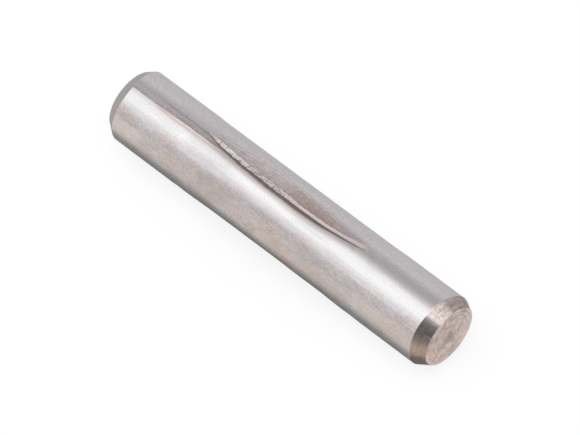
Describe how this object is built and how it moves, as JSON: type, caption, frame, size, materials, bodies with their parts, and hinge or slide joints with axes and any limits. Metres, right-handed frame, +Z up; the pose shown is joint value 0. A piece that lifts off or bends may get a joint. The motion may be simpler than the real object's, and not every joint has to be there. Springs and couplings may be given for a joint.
{
  "type": "groove pin",
  "caption": "Straight steel groove pin with chamfered ends and lens-shaped grooves pressed round its middle, whose raised lips grip a drilled hole.",
  "frame": {"origin": "on the floor under the middle of the lying pin, at the bottom centre of its box", "axes": "+X along the pin towards the end that faces the viewer in the picture, +Z up through the middle of the groove that faces up"},
  "size_m": [0.032, 0.0062, 0.006],
  "materials": {
    "steel": "drawn bare steel with fine lengthwise lines, lightly stained in the grooves and on the cut ends"
  },
  "bodies": {
    "root": {"groove_pin": "steel"}
  },
  "joints": []
}
